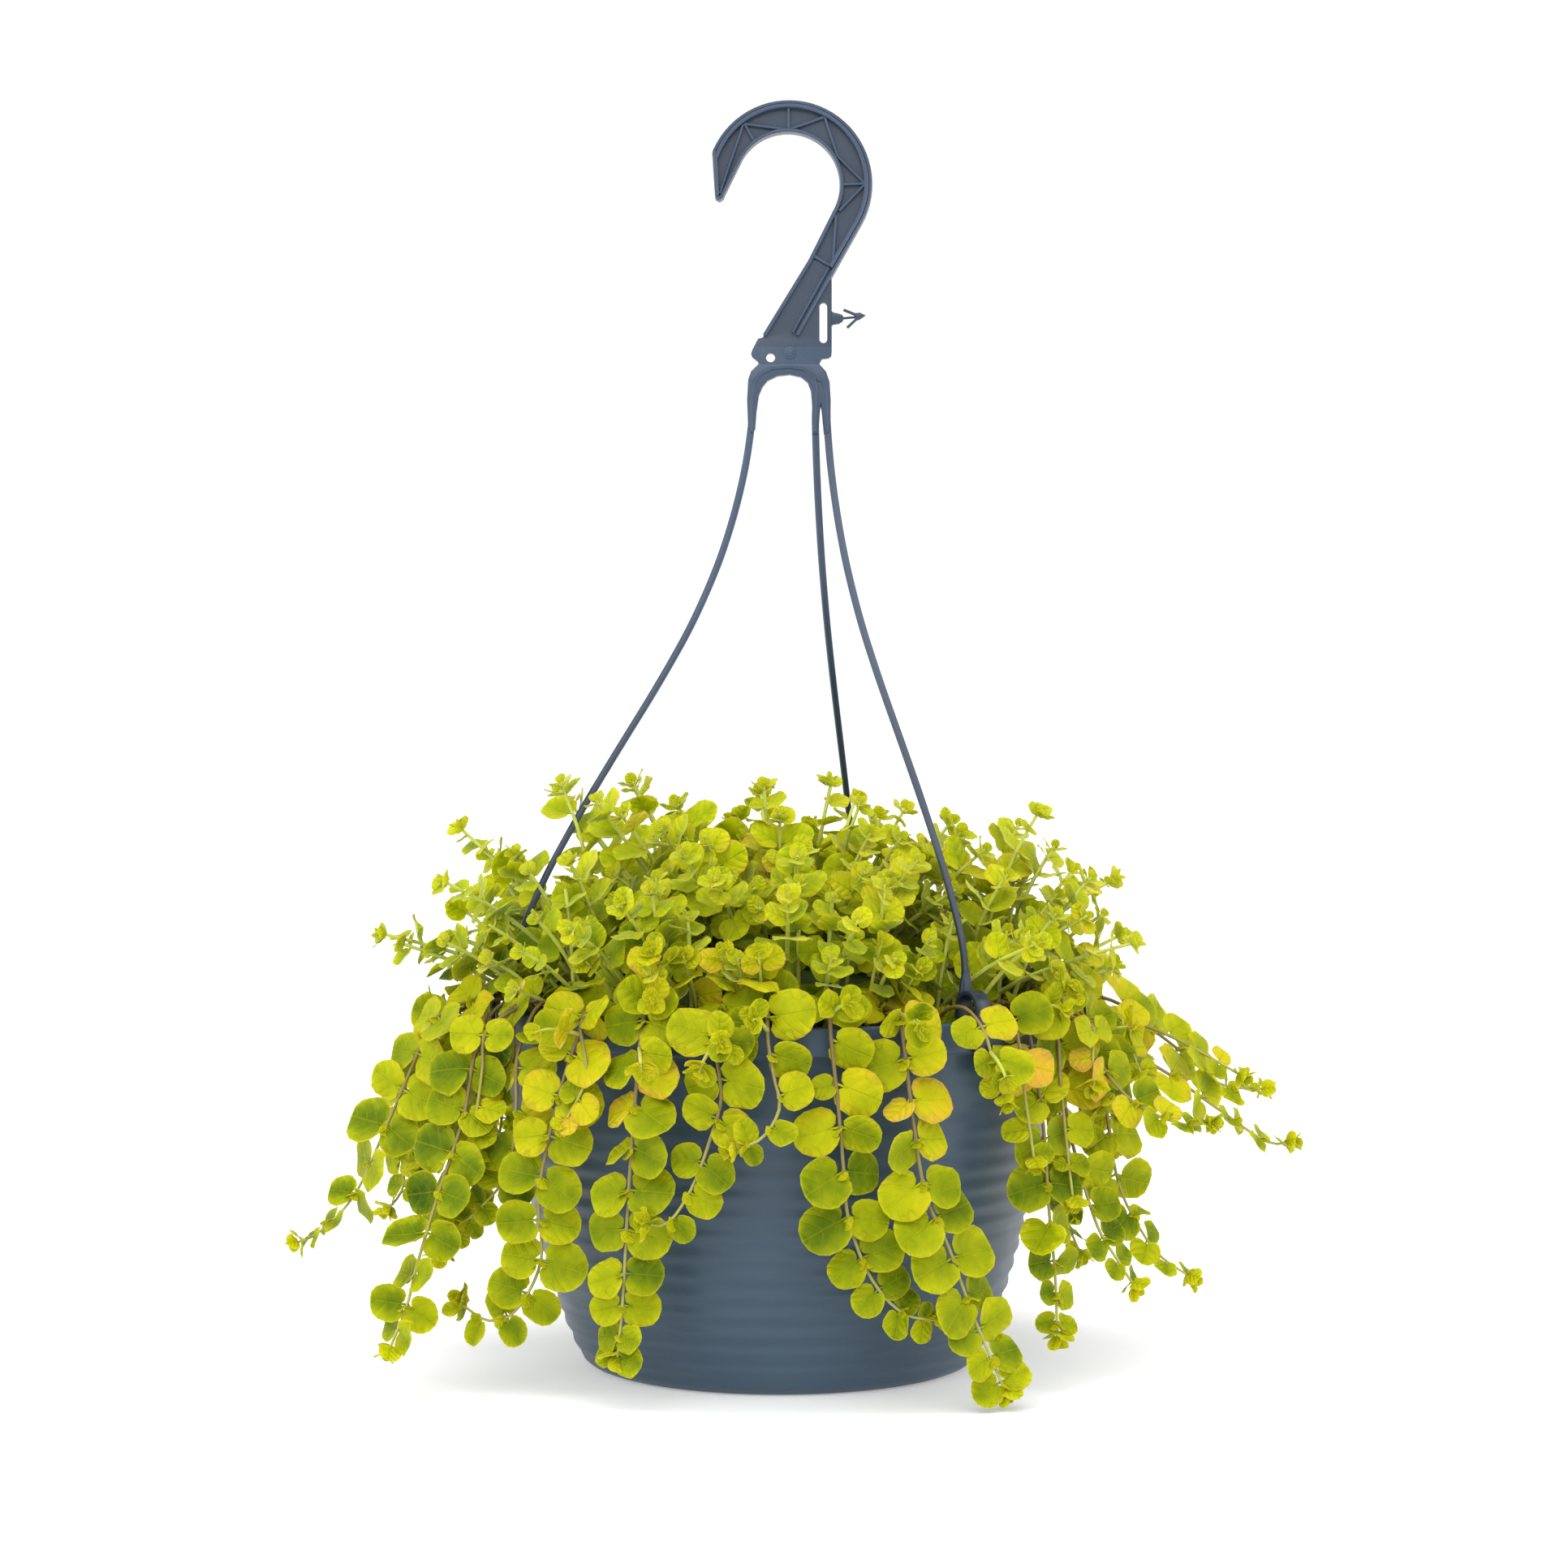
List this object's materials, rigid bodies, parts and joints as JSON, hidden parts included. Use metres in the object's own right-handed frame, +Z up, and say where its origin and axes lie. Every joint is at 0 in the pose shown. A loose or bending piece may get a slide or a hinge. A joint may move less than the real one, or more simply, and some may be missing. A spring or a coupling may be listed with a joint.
{
  "type": "potted creeping jenny",
  "caption": "Round-leaved trailing plant in a ribbed plastic pot with a clip-on hook hanger, shown standing on a flat surface.",
  "frame": {"origin": "middle of the pot's underside, on the surface that the pot stands on", "axes": "+Z up through the pot to the hook, -Y to the front, +X to the right as seen from the front"},
  "size_m": [0.4265, 0.2944, 0.5538],
  "materials": {
    "pot": "satin slate blue moulded plastic",
    "hanger": "smooth slate blue moulded plastic",
    "soil": "stands in for dark potting mix, fully rough",
    "leaf": "stands in for soft lime-yellow leaf and stem"
  },
  "bodies": {
    "root": {"pot": "pot", "hanger": "hanger", "soil": "soil", "strand_01": "leaf", "strand_02": "leaf", "strand_03": "leaf", "strand_04": "leaf", "strand_05": "leaf", "strand_06": "leaf", "strand_07": "leaf", "strand_08": "leaf", "strand_09": "leaf", "strand_10": "leaf", "strand_11": "leaf", "strand_12": "leaf", "strand_13": "leaf", "strand_14": "leaf", "strand_15": "leaf", "strand_16": "leaf", "strand_17": "leaf", "strand_18": "leaf", "strand_19": "leaf", "strand_20": "leaf", "strand_21": "leaf", "strand_22": "leaf", "strand_23": "leaf", "strand_24": "leaf", "shoot_01": "leaf", "shoot_02": "leaf", "shoot_03": "leaf", "shoot_04": "leaf", "shoot_05": "leaf", "shoot_06": "leaf", "shoot_07": "leaf", "shoot_08": "leaf", "shoot_09": "leaf", "shoot_10": "leaf", "shoot_11": "leaf", "shoot_12": "leaf", "crown": "leaf"}
  },
  "joints": []
}
